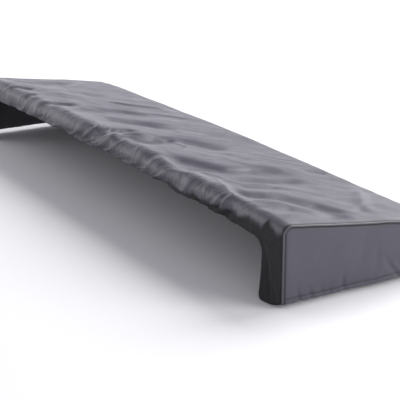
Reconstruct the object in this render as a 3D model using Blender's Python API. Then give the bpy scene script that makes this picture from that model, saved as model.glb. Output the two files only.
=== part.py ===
"""Fitted dust cover for a long keyboard, sewn from five pieces of cloth.

The cover is open underneath and along its rear. X runs along its length, the front
faces -Y and the rear faces +Y. The origin is under the middle of the top, where the
top of the instrument bears, and all sizes are in metres.
"""

import math
from typing import NamedTuple

import bmesh
import bpy
from mathutils import Vector

# Driving dimensions
LENGTH = 1.320
DEPTH = 0.335
REAR_HEIGHT = 0.140
FRONT_HEIGHT = 0.090
CROWN = 0.010
CLOTH = 0.002
GAP = 0.0003
CORD = 0.004

# Folds over the long edges of the top
FRONT_FOLD_RADIUS = 0.010
REAR_FOLD_END_RADIUS = 0.018
REAR_FOLD_RADIUS = 0.022
REAR_FOLD_EASE = 0.120

# Rear lip, and the returns at its ends
LIP = 0.0455
LIP_CROWN = 0.0135
RETURN_WIDTH = 0.059
RETURN_CORNER_WIDTH = 0.024
RETURN_CORNER_HEIGHT = 0.020
RETURN_FOOT_RADIUS = 0.010
RETURN_SWING = 0.007
RETURN_DROOP = 0.0075
DROOP_FROM_END = 0.65

# Grid of the main panel
FRONT_ROWS = 3
FRONT_FOLD_STEPS = 2
TOP_ROWS = 13
REAR_FOLD_STEPS = 3
RETURN_COLUMNS = 5
RETURN_CORNER_STEPS = 4
RETURN_ROWS = 3
RETURN_FOOT_STEPS = 3
SPAN_COLUMNS = 72

# Grid of an end panel
END_ROWS = 6
END_COLUMNS = 14

# Creases
SEAM_EASE = 0.035
CREASE_SHARPNESS = 0.55

CLOTH_GREY = (0.040, 0.039, 0.045)
PIPING_GREY = (0.075, 0.073, 0.083)
ROUGHNESS = 0.5

HALF_LENGTH = LENGTH / 2
HALF_DEPTH = DEPTH / 2
MIDDLE_HEIGHT = (REAR_HEIGHT + FRONT_HEIGHT) / 2
SLOPE = (REAR_HEIGHT - FRONT_HEIGHT) / DEPTH
BEARING_HEIGHT = MIDDLE_HEIGHT + CROWN - CLOTH
PANEL_END = HALF_LENGTH - CORD - GAP
LIP_EDGE = REAR_HEIGHT - LIP


class TopFold(NamedTuple):
    """One crease of the top, along three places given as x and y."""

    start_x: float
    start_y: float
    middle_x: float
    middle_y: float
    end_x: float
    end_y: float
    depth: float
    width: float


class EndFold(NamedTuple):
    """One upright crease of an end panel: its y at the low end, and how far it leans."""

    y: float
    lean: float
    low: float
    high: float
    depth: float
    width: float


# A positive depth is a trough and a negative one is a ridge.
TOP_FOLDS = (
    TopFold(-0.608, 0.125, -0.604, 0.085, -0.645, 0.068, 0.0015, 0.018),
    TopFold(-0.482, 0.150, -0.530, 0.068, -0.635, 0.027, 0.0035, 0.024),
    TopFold(-0.508, 0.150, -0.556, 0.090, -0.640, 0.050, -0.0020, 0.022),
    TopFold(-0.430, 0.160, -0.436, 0.090, -0.470, 0.020, 0.0018, 0.024),
    TopFold(-0.345, 0.040, -0.331, -0.045, -0.337, -0.110, 0.0018, 0.024),
    TopFold(-0.284, 0.160, -0.345, 0.104, -0.436, -0.039, -0.0028, 0.024),
    TopFold(-0.240, 0.160, -0.310, 0.078, -0.291, -0.040, 0.0045, 0.030),
    TopFold(-0.170, 0.160, -0.160, 0.090, -0.190, 0.010, 0.0020, 0.026),
    TopFold(-0.082, 0.158, -0.068, 0.080, -0.124, -0.020, 0.0035, 0.028),
    TopFold(-0.022, 0.165, 0.010, 0.125, 0.028, 0.080, 0.0030, 0.024),
    TopFold(0.060, 0.160, 0.075, 0.100, 0.050, 0.020, -0.0020, 0.026),
    TopFold(0.156, 0.150, 0.112, 0.040, 0.050, -0.030, 0.0024, 0.028),
    TopFold(0.237, 0.140, 0.236, -0.030, 0.125, -0.150, 0.0028, 0.032),
    TopFold(0.284, 0.164, 0.320, 0.105, 0.340, 0.040, 0.0026, 0.026),
    TopFold(0.367, -0.120, 0.290, -0.134, 0.230, -0.145, -0.0016, 0.026),
    TopFold(0.386, 0.165, 0.440, 0.138, 0.494, 0.100, 0.0024, 0.026),
    TopFold(0.520, 0.160, 0.535, 0.080, 0.500, 0.000, 0.0020, 0.026),
    TopFold(0.600, 0.120, 0.570, 0.050, 0.580, -0.050, 0.0016, 0.026),
    TopFold(-0.554, -0.066, -0.578, -0.040, -0.626, -0.004, 0.0022, 0.024),
    TopFold(-0.530, -0.105, -0.581, -0.073, -0.618, -0.066, -0.0018, 0.024),
)

END_FOLDS = (
    EndFold(0.132, 0.004, 0.000, 0.035, 0.0010, 0.020),
    EndFold(0.082, -0.006, 0.000, 0.070, -0.0012, 0.026),
    EndFold(0.038, 0.002, 0.000, 0.045, 0.0020, 0.022),
    EndFold(-0.012, -0.010, 0.020, 0.100, 0.0014, 0.026),
    EndFold(-0.052, -0.020, 0.000, 0.065, 0.0024, 0.024),
    EndFold(-0.084, -0.016, 0.000, 0.050, -0.0018, 0.022),
    EndFold(-0.128, 0.006, 0.000, 0.060, 0.0014, 0.022),
)


def clear_scene() -> None:
    """Empties the scene."""
    for obj in list(bpy.data.objects):
        bpy.data.objects.remove(obj, do_unlink=True)


def ease(value: float) -> float:
    """Smooth step from 0 to 1."""
    value = min(max(value, 0.0), 1.0)
    return value * value * (3.0 - 2.0 * value)


def arched(x: float, rise: float) -> float:
    """Height above the ends of the cover of a line that arches up to its middle."""
    return rise * (1.0 - (x / HALF_LENGTH) ** 2)


def rear_radius_at(x: float) -> float:
    """Radius of the rear fold, which is tighter at the ends."""
    share = ease((HALF_LENGTH - abs(x)) / REAR_FOLD_EASE)
    return REAR_FOLD_END_RADIUS + (REAR_FOLD_RADIUS - REAR_FOLD_END_RADIUS) * share


def spaced(first: Vector, last: Vector, count: int) -> list:
    """Evenly spaced points from the first up to, but without, the last."""
    return [first.lerp(last, step / count) for step in range(count)]


def fillet(before: Vector, corner: Vector, after: Vector, radius: float, steps: int) -> list:
    """Points of the arc that rounds a corner, from one tangent point to the other."""
    into = (corner - before).normalized()
    away = (after - corner).normalized()
    turn = into.angle(away)
    start = corner - into * radius * math.tan(turn / 2)
    side = (away - into * away.dot(into)).normalized()
    points = []
    for step in range(steps + 1):
        angle = turn * step / steps
        points.append(start + into * radius * math.sin(angle) + side * radius * (1 - math.cos(angle)))
    return points


def fold_arcs(x: float, inset: float) -> tuple:
    """Arcs of the cloth over the front and the rear edge of the top, as (y, height)."""
    height = MIDDLE_HEIGHT + arched(x, CROWN) - inset * math.hypot(1.0, SLOPE)
    front, rear = -HALF_DEPTH + inset, HALF_DEPTH - inset
    front_corner = Vector((front, height + SLOPE * front))
    rear_corner = Vector((rear, height + SLOPE * rear))
    front_hem, rear_hem = Vector((front, 0.0)), Vector((rear, 0.0))
    front_radius = FRONT_FOLD_RADIUS - inset
    rear_radius = rear_radius_at(x) - inset
    front_arc = fillet(front_hem, front_corner, rear_corner, front_radius, FRONT_FOLD_STEPS)
    rear_arc = fillet(front_corner, rear_corner, rear_hem, rear_radius, REAR_FOLD_STEPS)
    return front_arc, rear_arc


def section_at(x: float, rear_end: float, inset: float = 0.0) -> list:
    """Outer section of the cover from the front hem to a height on the rear, as (y, height)."""
    front_arc, rear_arc = fold_arcs(x, inset)
    points = spaced(Vector((front_arc[0].x, 0.0)), front_arc[0], FRONT_ROWS)
    points += front_arc[:-1]
    points += spaced(front_arc[-1], rear_arc[0], TOP_ROWS)
    points += rear_arc
    points.append(Vector((rear_arc[-1].x, rear_end)))
    return points


def along_crease(fold: TopFold, x: float, y: float) -> tuple:
    """Distance from a place to a crease, and the share of the crease reached there."""
    start = Vector((fold.start_x, fold.start_y))
    middle = Vector((fold.middle_x, fold.middle_y))
    end = Vector((fold.end_x, fold.end_y))
    spot = Vector((x, y))
    nearest = (math.inf, 0.0)
    for first, second, base in ((start, middle, 0.0), (middle, end, 0.5)):
        run = second - first
        share = min(max((spot - first).dot(run) / run.length_squared, 0.0), 1.0)
        away = (spot - first.lerp(second, share)).length
        nearest = min(nearest, (away, base + share / 2))
    return nearest


def crease_profile(away: float, width: float) -> float:
    """Rounded cross-section of a crease, 1 along its middle."""
    return math.exp(-((away / (CREASE_SHARPNESS * width)) ** 2))


def top_relief(x: float, y: float) -> float:
    """Depth of the creases of the top at a place."""
    depth = 0.0
    for fold in TOP_FOLDS:
        away, share = along_crease(fold, x, y)
        strength = ease(share * 5 + 0.25) * ease((1 - share) * 2.5 + 0.1)
        depth += fold.depth * strength * crease_profile(away, fold.width)
    return depth * ease((PANEL_END - abs(x)) / SEAM_EASE)


def end_relief(y: float, height: float, room: float) -> float:
    """Depth of the creases of an end panel at a place, which fade towards the piping."""
    depth = 0.0
    for fold in END_FOLDS:
        share = (height - fold.low) / (fold.high - fold.low)
        strength = ease(1 - share) * ease(share * 2 + 1)
        away = y - fold.y - fold.lean * share
        depth += fold.depth * strength * crease_profile(away, fold.width)
    return depth * ease(room / SEAM_EASE)


def creased(section: list, x: float) -> list:
    """The section with the creases of the top pressed into it, square to the cloth."""
    shaped = []
    for index, point in enumerate(section):
        before = section[max(index - 1, 0)]
        after = section[min(index + 1, len(section) - 1)]
        along = (after - before).normalized()
        inward = Vector((along.y, -along.x))
        on_top = ease((point.x + HALF_DEPTH) / FRONT_FOLD_RADIUS - 1) * ease(-inward.y)
        shaped.append(point + inward * top_relief(x, point.x) * on_top)
    return shaped


def return_levels() -> list:
    """Heights down a rear return with its width at each, from the lip edge to the hem."""
    levels = []
    for step in range(RETURN_CORNER_STEPS + 1):
        angle = math.pi / 2 * step / RETURN_CORNER_STEPS
        height = LIP_EDGE - RETURN_CORNER_HEIGHT * (1 - math.cos(angle))
        levels.append((height, RETURN_WIDTH + RETURN_CORNER_WIDTH * (1 - math.sin(angle))))
    top = LIP_EDGE - RETURN_CORNER_HEIGHT
    for row in range(1, RETURN_ROWS + 1):
        levels.append((top + (RETURN_FOOT_RADIUS - top) * row / RETURN_ROWS, RETURN_WIDTH))
    for step in range(1, RETURN_FOOT_STEPS + 1):
        angle = math.pi / 2 * step / RETURN_FOOT_STEPS
        height = RETURN_FOOT_RADIUS * (1 - math.sin(angle))
        levels.append((height, RETURN_WIDTH - RETURN_FOOT_RADIUS * (1 - math.cos(angle))))
    return levels


def column_places(return_width: float) -> list:
    """Places along X of the main panel's columns: close over the returns, even over the span."""
    inner = PANEL_END - return_width
    outer = [PANEL_END - return_width * step / RETURN_COLUMNS for step in range(RETURN_COLUMNS)]
    span = [-inner + 2 * inner * step / SPAN_COLUMNS for step in range(SPAN_COLUMNS + 1)]
    return [-x for x in outer] + span + outer[::-1]


def add_vertex(mesh: bmesh.types.BMesh, x: float, y: float, height: float) -> bmesh.types.BMVert:
    """Adds a vertex, its height given above the hem."""
    return mesh.verts.new((x, y, height - BEARING_HEIGHT))


def fill_grid(mesh: bmesh.types.BMesh, columns: list) -> None:
    """Joins neighbouring columns of vertices with four-sided faces."""
    for left, right in zip(columns, columns[1:]):
        for row in range(len(left) - 1):
            mesh.faces.new((left[row], right[row], right[row + 1], left[row + 1]))


def cloth_material(name: str, colour: tuple) -> bpy.types.Material:
    """A matt cloth colour."""
    material = bpy.data.materials.new(name)
    material.use_nodes = True
    shader = material.node_tree.nodes["Principled BSDF"]
    shader.inputs["Base Color"].default_value = (*colour, 1.0)
    shader.inputs["Roughness"].default_value = ROUGHNESS
    shader.inputs["Metallic"].default_value = 0.0
    material.diffuse_color = (*colour, 1.0)
    return material


def add_to_scene(name: str, data: bpy.types.ID, material: bpy.types.Material) -> bpy.types.Object:
    """Links a mesh or a curve to the scene as an object."""
    data.materials.append(material)
    obj = bpy.data.objects.new(name, data)
    bpy.context.scene.collection.objects.link(obj)
    return obj


def add_sheet(name: str, mesh: bmesh.types.BMesh, material: bpy.types.Material) -> None:
    """Turns an open sheet into an object with the thickness of the cloth, grown inwards."""
    data = bpy.data.meshes.new(name)
    mesh.to_mesh(data)
    mesh.free()
    data.shade_smooth()
    obj = add_to_scene(name, data, material)
    wall = obj.modifiers.new("cloth thickness", "SOLIDIFY")
    wall.thickness = CLOTH
    wall.offset = -1.0
    wall.use_even_offset = True


def hang_return(mesh: bmesh.types.BMesh, lip: list, levels: list, side: int) -> None:
    """Hangs a rear return below vertices of the lip, which run from the end inwards."""
    columns = [[vert] for vert in lip]
    for height, width in levels[1:]:
        share = 1 - height / LIP_EDGE
        for step, column in enumerate(columns):
            across = step / RETURN_COLUMNS
            sag = RETURN_DROOP * math.sin(math.pi / 2 * min(across / DROOP_FROM_END, 1.0))
            x = side * (PANEL_END - width * across)
            y = HALF_DEPTH + RETURN_SWING * across * share ** 2
            column.append(add_vertex(mesh, x, y, height - sag * share))
    fill_grid(mesh, columns if side < 0 else columns[::-1])


def build_main_panel(material: bpy.types.Material) -> None:
    """Front drop, top, rear lip and both returns, as one cloth."""
    mesh = bmesh.new()
    levels = return_levels()
    columns = []
    for x in column_places(levels[0][1]):
        section = creased(section_at(x, LIP_EDGE + arched(x, LIP_CROWN)), x)
        columns.append([add_vertex(mesh, x, point.x, point.y) for point in section])
    fill_grid(mesh, columns)
    lip = [column[-1] for column in columns]
    hang_return(mesh, lip[: RETURN_COLUMNS + 1], levels, -1)
    hang_return(mesh, lip[::-1][: RETURN_COLUMNS + 1], levels, 1)
    add_sheet("main_panel", mesh, material)


def build_end_panel(name: str, side: int, material: bpy.types.Material) -> None:
    """One end of the cover, hanging inside its piping, with its hem at the bottom."""
    front_arc, rear_arc = fold_arcs(HALF_LENGTH, CORD + GAP)
    outline = front_arc[:-1] + spaced(front_arc[-1], rear_arc[0], END_COLUMNS) + rear_arc
    mesh = bmesh.new()
    columns = []
    for top in outline:
        column = []
        for row in range(END_ROWS + 1):
            height = top.y * row / END_ROWS
            room = min(top.y - height, top.x - outline[0].x, outline[-1].x - top.x)
            depth = end_relief(top.x, height, room)
            column.append(add_vertex(mesh, side * (HALF_LENGTH - CORD / 4 - depth), top.x, height))
        columns.append(column)
    fill_grid(mesh, columns if side > 0 else columns[::-1])
    add_sheet(name, mesh, material)


def build_piping(name: str, side: int, material: bpy.types.Material) -> None:
    """The corded welt in the seam round one end, from the front hem to the rear hem."""
    path = section_at(HALF_LENGTH, 0.0, CORD / 2)
    x = side * (HALF_LENGTH - CORD / 2)
    curve = bpy.data.curves.new(name, "CURVE")
    curve.dimensions = "3D"
    curve.bevel_depth = CORD / 2
    curve.bevel_resolution = 2
    curve.use_fill_caps = True
    spline = curve.splines.new("POLY")
    spline.points.add(len(path) - 1)
    for point, place in zip(spline.points, path):
        point.co = (x, place.x, place.y - BEARING_HEIGHT, 1.0)
    add_to_scene(name, curve, material)


def main() -> None:
    """Builds the five pieces of the cover."""
    clear_scene()
    cloth = cloth_material("coated cloth", CLOTH_GREY)
    end_cloth = cloth_material("end cloth", CLOTH_GREY)
    welt = cloth_material("piping", PIPING_GREY)
    build_main_panel(cloth)
    for side, hand in ((-1, "left"), (1, "right")):
        build_end_panel(f"end_panel_{hand}", side, end_cloth)
        build_piping(f"piping_{hand}", side, welt)


main()
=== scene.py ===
"""Visual model of a fitted cloth dust cover for a long keyboard.

The cover is hollow, and open below and along its rear. Its cloth is cut, creased,
gathered, hemmed and corded here, in metres, in the frame of its solids: X runs along
the length, the front drop faces -Y, the open rear faces +Y and Z is up, with the
origin under the middle of the top.
"""

import logging
import math
from dataclasses import dataclass
from enum import Enum
from itertools import pairwise

import bmesh
import bpy
import numpy as np
from mathutils import Matrix, Vector, noise


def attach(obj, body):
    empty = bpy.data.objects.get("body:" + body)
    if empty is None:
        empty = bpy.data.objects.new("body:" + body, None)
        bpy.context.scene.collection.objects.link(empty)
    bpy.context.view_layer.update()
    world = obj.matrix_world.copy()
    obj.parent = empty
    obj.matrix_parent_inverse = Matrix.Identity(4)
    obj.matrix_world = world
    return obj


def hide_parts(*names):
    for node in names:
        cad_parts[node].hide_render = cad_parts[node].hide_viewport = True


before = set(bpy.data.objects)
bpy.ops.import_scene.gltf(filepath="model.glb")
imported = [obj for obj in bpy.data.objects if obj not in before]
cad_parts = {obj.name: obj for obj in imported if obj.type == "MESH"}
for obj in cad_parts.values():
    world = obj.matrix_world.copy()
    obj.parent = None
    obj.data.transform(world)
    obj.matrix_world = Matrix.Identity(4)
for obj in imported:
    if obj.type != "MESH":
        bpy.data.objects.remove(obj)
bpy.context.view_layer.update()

LOG = logging.getLogger("dust cover")
BODY = "root"
SHADER = "Principled BSDF"
# Flat places nearer than this are the same.
HAIR = 1e-5


class Slot(Enum):
    """Material slots of the record."""

    CLOTH = "cloth"
    PIPING = "piping"
    THREAD = "thread"


class End(Enum):
    """The two ends of the cover, with their side along X."""

    LEFT = -1
    RIGHT = 1

    @property
    def hand(self) -> str:
        """The end's name in lower case."""
        return self.name.lower()


def ease(value: np.ndarray) -> np.ndarray:
    """Smooth step from 0 to 1."""
    value = np.clip(value, 0.0, 1.0)
    return value * value * (3.0 - 2.0 * value)


def uneven(u: np.ndarray, v: np.ndarray, seed: float) -> np.ndarray:
    """Smooth seeded unevenness over a cloth.

    Args:
        u: First coordinate of each place, in wavelengths.
        v: Second coordinate of each place, in wavelengths.
        seed: Picks the pattern.

    Returns:
        One value for each place, from about -1 to 1.
    """
    u, v = np.broadcast_arrays(u, v)
    return np.array([noise.noise((a, b, seed)) for a, b in zip(u.tolist(), v.tolist())]) * 1.6


def bell(away: np.ndarray) -> np.ndarray:
    """Smooth hump of height 1, by the distance from its middle in widths."""
    return np.exp(-away ** 2)


def quarter(count: int) -> np.ndarray:
    """Angles of a quarter turn in even steps, without its start."""
    return math.pi / 2 * np.arange(1, count + 1) / count


@dataclass(frozen=True)
class Ramp:
    """A value that eases from one level to another, with where it starts and its run."""

    low: float
    high: float
    start: float
    run: float

    def at(self, place: np.ndarray) -> np.ndarray:
        """The value at each place."""
        return self.low + (self.high - self.low) * ease((place - self.start) / self.run)


@dataclass(frozen=True)
class Wave:
    """Seeded unevenness with its height and its wavelengths in two directions."""

    height: float
    seed: float
    along: float
    across: float = math.inf

    SHARPNESS = 2.2

    def at(self, u: np.ndarray, v: np.ndarray | float = 0.0) -> np.ndarray:
        """Height at each place, from about -1 to 1 times the wave's own."""
        return self.height * uneven(u / self.along, v / self.across, self.seed)

    def sharp_at(self, u: np.ndarray, v: np.ndarray) -> np.ndarray:
        """Height at each place, with sharp ridges between round hollows."""
        return self.height - self.SHARPNESS * np.abs(self.at(u, v))


@dataclass(frozen=True)
class Hem:
    """A doubled edge of cloth, with its width and the line of its stitching in from it."""

    width: float
    seam: float
    rise: float
    step: float
    pull: float
    groove: float

    def relief(self, inwards: np.ndarray) -> np.ndarray:
        """Height of the cloth, by its distance in from the edge."""
        doubled = self.rise * ease((self.width + self.step / 2 - inwards) / self.step)
        return doubled - self.pull * bell((inwards - self.seam) / self.groove)


def ways_along(line: np.ndarray) -> np.ndarray:
    """The way to each row of a line of places, from its first row."""
    steps = np.linalg.norm(np.diff(line, axis=0), axis=1)
    return np.concatenate([[0.0], np.cumsum(steps)])


def placed_at(wanted: np.ndarray, ways: np.ndarray, line: np.ndarray) -> np.ndarray:
    """Rows of a line at the wanted ways, between the rows at its own ways."""
    return np.stack([np.interp(wanted, ways, part) for part in line.T], axis=1)


def add_object(name: str, data: bpy.types.ID) -> bpy.types.Object:
    """Puts an object in the scene, at the origin.

    Args:
        name: Name of the object.
        data: Its mesh, curve, light or camera.

    Returns:
        The object.
    """
    made = bpy.data.objects.new(name, data)
    bpy.context.scene.collection.objects.link(made)
    return made


def shaded(colour: tuple[float, float, float], share: float = 1.0) -> tuple:
    """A colour made lighter or darker, with its alpha."""
    return (*(part * share for part in colour), 1.0)


@dataclass(frozen=True)
class Fold:
    """One fold of the cloth, given as a smooth line of places in x and way.

    The left of the line, seen from its first place, is the side away from the near end.
    """

    path: tuple[tuple[float, float], ...]
    width: float
    height: float
    fade: float = 0.25

    STEPS = 5
    REACH = 5.5

    def smooth_path(self) -> np.ndarray:
        """The path as a smooth line through its places.

        Returns:
            Rows of x and way.
        """
        places = [Vector(place).to_3d() for place in self.path]
        padded = [places[0] * 2 - places[1], *places, places[-1] * 2 - places[-2]]
        line = []
        for before, first, second, after in zip(padded, padded[1:], padded[2:], padded[3:]):
            for step in range(self.STEPS):
                t = step / self.STEPS
                line.append(0.5 * (
                    2 * first
                    + (second - before) * t
                    + (2 * before - 5 * first + 4 * second - after) * t ** 2
                    + (3 * first - before - 3 * second + after) * t ** 3
                ))
        line.append(places[-1])
        return np.array([point.to_2d() for point in line])

    @staticmethod
    def measure(line: np.ndarray, x: np.ndarray, way: np.ndarray) -> tuple:
        """Measures places against a line.

        Args:
            line: Rows of x and way.
            x: Place along the cover.
            way: The way from the front hem.

        Returns:
            Distances from the line, above 0 on its left, and shares of the line passed.
        """
        starts = ways_along(line)
        best = np.full(len(x), np.inf)
        offset, share = np.zeros(len(x)), np.zeros(len(x))
        for (first, second), length, begun in zip(pairwise(line), np.diff(starts), starts):
            run = (second - first) / length
            along = (x - first[0]) * run[0] + (way - first[1]) * run[1]
            across = run[0] * (way - first[1]) - run[1] * (x - first[0])
            inside = np.clip(along, 0.0, length)
            away = np.hypot(across, along - inside)
            nearer = away < best
            best = np.where(nearer, away, best)
            offset = np.where(nearer, np.where(across < 0, -away, away), offset)
            share = np.where(nearer, (begun + inside) / starts[-1], share)
        return offset, share

    def profile(self, across: np.ndarray) -> np.ndarray:
        """Share of the height at each distance across, in widths; each kind has its own."""
        raise NotImplementedError

    def relief(self, x: np.ndarray, way: np.ndarray) -> np.ndarray:
        """Height that the fold gives the cloth.

        Args:
            x: Place along the cover.
            way: The way from the front hem.

        Returns:
            Height at each place.
        """
        line = self.smooth_path()
        low = line.min(axis=0) - self.REACH * self.width
        high = line.max(axis=0) + self.REACH * self.width
        close = (x > low[0]) & (x < high[0]) & (way > low[1]) & (way < high[1])
        height = np.zeros(len(x))
        offset, share = self.measure(line, x[close], way[close])
        strength = ease(share / self.fade) * ease((1.0 - share) / self.fade)
        height[close] = self.height * strength * self.profile(offset / self.width)
        return height


class Crease(Fold):
    """A soft trough, with its steep far wall on the line and a long gentle near side."""

    WALL = 0.70
    NEAR_SHARE = 1.70

    def profile(self, across: np.ndarray) -> np.ndarray:
        """The trough."""
        across = across + self.WALL
        return -bell(np.where(across > 0, across, across / self.NEAR_SHARE))


class Crest(Fold):
    """A narrow ridge, with its far side on the line."""

    SIDE = 0.60

    def profile(self, across: np.ndarray) -> np.ndarray:
        """The ridge, alike on both sides."""
        return bell(across + self.SIDE)


@dataclass(frozen=True)
class EndFold:
    """One soft upright fold of an end panel, placed by its low end."""

    y: float
    lean: float
    low: float
    high: float
    depth: float
    width: float

    FAR_SHARE = 1.7

    def relief(self, y: np.ndarray, height: np.ndarray) -> np.ndarray:
        """Height that the fold gives the cloth.

        Args:
            y: Place across the panel.
            height: Height above the hem.

        Returns:
            Height at each place.
        """
        share = (height - self.low) / (self.high - self.low)
        strength = ease(1.15 - share) * ease(share * 2.0 + 1.0)
        away = (y - self.y - self.lean * share) / self.width
        return -self.depth * strength * bell(np.where(away > 0, away, away * self.FAR_SHARE))


@dataclass(frozen=True)
class Gather:
    """One order of the crinkles that the elastic draws into the rear edge."""

    pitch: float
    height: float
    reach: float
    seed: float

    LEAN = 1.6
    TOP_LEAN = 3.4
    FOLD_RISE = 0.042

    def relief(self, x: np.ndarray, rise: np.ndarray) -> np.ndarray:
        """Height of the crinkles.

        Args:
            x: Place along the cover.
            rise: Rise above the lip edge, along the cloth.

        Returns:
            Height at each place.
        """
        warp = 0.8 * self.pitch * uneven(x / (2.2 * self.pitch), rise / self.reach, self.seed)
        over_fold = np.clip(rise - self.FOLD_RISE, 0.0, None)
        across = (x + self.LEAN * rise - self.TOP_LEAN * over_fold + warp) / self.pitch
        ridges = 0.35 - np.abs(uneven(across, rise / (1.6 * self.reach), self.seed + 3.1))
        patches = uneven(x / (3.5 * self.pitch), rise / self.reach, self.seed + 7.7)
        reach = self.reach * (0.9 + 0.6 * uneven(x / (4 * self.pitch), 0 * x, self.seed + 9.4))
        fade = ease(1.0 - rise / reach)
        return self.height * ridges * np.clip(0.75 + 0.9 * patches, 0.0, 1.6) * fade


@dataclass(frozen=True)
class CoverForm:
    """Form of the cover, as its solids have it, with heights above the hem."""

    length: float = 1.320
    depth: float = 0.335
    rear_height: float = 0.140
    front_height: float = 0.090
    crown: float = 0.010
    bearing_height: float = 0.123
    cord: float = 0.0034
    tuck: float = 0.0006
    front_radius: float = 0.010
    rear_end_radius: float = 0.017
    rear_radius: float = 0.026
    rear_radius_ease: float = 0.300
    lip_edge: float = 0.0945
    lip_crown: float = 0.0135
    return_width: float = 0.059
    return_corner_width: float = 0.024
    return_corner_height: float = 0.020
    return_foot_radius: float = 0.010
    return_swing: float = 0.007
    return_droop: float = 0.0075
    droop_from_end: float = 0.65

    SEAM_STRAY = Wave(0.0006, 83.0, 0.045)

    @property
    def half_length(self) -> float:
        """Half the length."""
        return self.length / 2

    @property
    def half_depth(self) -> float:
        """Half the depth."""
        return self.depth / 2

    @property
    def panel_end(self) -> float:
        """Where the main panel ends, tucked under the piping."""
        return self.half_length - self.cord + self.tuck

    @property
    def slope(self) -> float:
        """Rise of the top from its front to its rear."""
        return (self.rear_height - self.front_height) / self.depth

    @property
    def tilt(self) -> float:
        """Angle of the top's rise."""
        return math.atan(self.slope)

    def arched(self, x: np.ndarray, rise: float) -> np.ndarray:
        """Height above the ends of the cover of a line that arches up to its middle."""
        return rise * (1.0 - (x / self.half_length) ** 2)

    def rear_radius_at(self, x: np.ndarray) -> np.ndarray:
        """Radius of the rear fold, which is tighter at the ends."""
        share = ease((self.half_length - np.abs(x)) / self.rear_radius_ease)
        return self.rear_end_radius + (self.rear_radius - self.rear_end_radius) * share

    def lip_height(self, x: np.ndarray) -> np.ndarray:
        """Height of the lower edge of the rear lip."""
        return self.lip_edge + self.arched(x, self.lip_crown)

    def seam_wave(self, y: np.ndarray) -> np.ndarray:
        """How far the top of an end seam strays upwards.

        Args:
            y: Place across the cover.

        Returns:
            Height at each place.
        """
        inside = ease((self.half_depth - np.abs(y)) / 0.030)
        bulge = 0.0018 * bell((y + 0.055) / 0.045)
        return inside * (bulge + self.SEAM_STRAY.at(y))


@dataclass(frozen=True)
class Section:
    """Cross-section of the main panel, walked in strips from the front hem to the rear lip.

    A strip is the front drop, the front fold, the top, the rear fold or the lip.
    """

    form: CoverForm
    inset: float = 0.0

    STRIPS = 5

    def points(self, x: np.ndarray, strip: np.ndarray, share: np.ndarray) -> tuple:
        """Places on the section, with its outward direction there.

        Args:
            x: Place of the section along the cover.
            strip: Number of the strip.
            share: Share of the strip that lies before the place.

        Returns:
            Arrays of y, height, outward y and outward height.
        """
        form = self.form
        tilt = form.tilt
        front, rear = -form.half_depth + self.inset, form.half_depth - self.inset
        middle = (form.rear_height + form.front_height) / 2 + form.arched(x, form.crown)
        middle = middle - self.inset / math.cos(tilt)
        front_radius = form.front_radius - self.inset
        rear_radius = form.rear_radius_at(x) - self.inset
        front_turn, rear_turn = math.pi / 2 - tilt, math.pi / 2 + tilt
        front_run = front_radius * math.tan(front_turn / 2)
        rear_run = rear_radius * math.tan(rear_turn / 2)
        front_top = middle + form.slope * front - front_run
        rear_top = middle + form.slope * rear - rear_run
        first = front + front_run * math.cos(tilt)
        last = rear - rear_run * math.cos(tilt)
        front_angle = front_turn * share
        rear_angle = rear_turn * (1.0 - share)
        flat = first + (last - first) * share
        zero, one = np.zeros_like(x), np.ones_like(x)
        strips = (
            (front + zero, front_top * share, -one, zero),
            (
                front + front_radius * (1.0 - np.cos(front_angle)),
                front_top + front_radius * np.sin(front_angle),
                -np.cos(front_angle),
                np.sin(front_angle),
            ),
            (flat, middle + form.slope * flat, -math.sin(tilt) * one, math.cos(tilt) * one),
            (
                rear - rear_radius * (1.0 - np.cos(rear_angle)),
                rear_top + rear_radius * np.sin(rear_angle),
                np.cos(rear_angle),
                np.sin(rear_angle),
            ),
            (rear + zero, rear_top + (form.lip_height(x) - rear_top) * share, one, zero),
        )
        choices = [strip == number for number in range(self.STRIPS)]
        return tuple(np.select(choices, list(values)) for values in zip(*strips))

    def walk(self, steps: dict[int, int]) -> tuple:
        """A line through some of the strips, at an end of the cover.

        Args:
            steps: Number of places on each strip, by the strip's number.

        Returns:
            Arrays of y, height, strip and share of the strip passed.
        """
        strips = np.repeat(list(steps), list(steps.values()))
        *counts, last = steps.values()
        shares = [np.arange(count) / count for count in counts] + [np.arange(last) / (last - 1)]
        shares = np.concatenate(shares)
        y, height, _, _ = self.points(np.full(len(strips), self.form.half_length), strips, shares)
        return y, height, strips, shares


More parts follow.
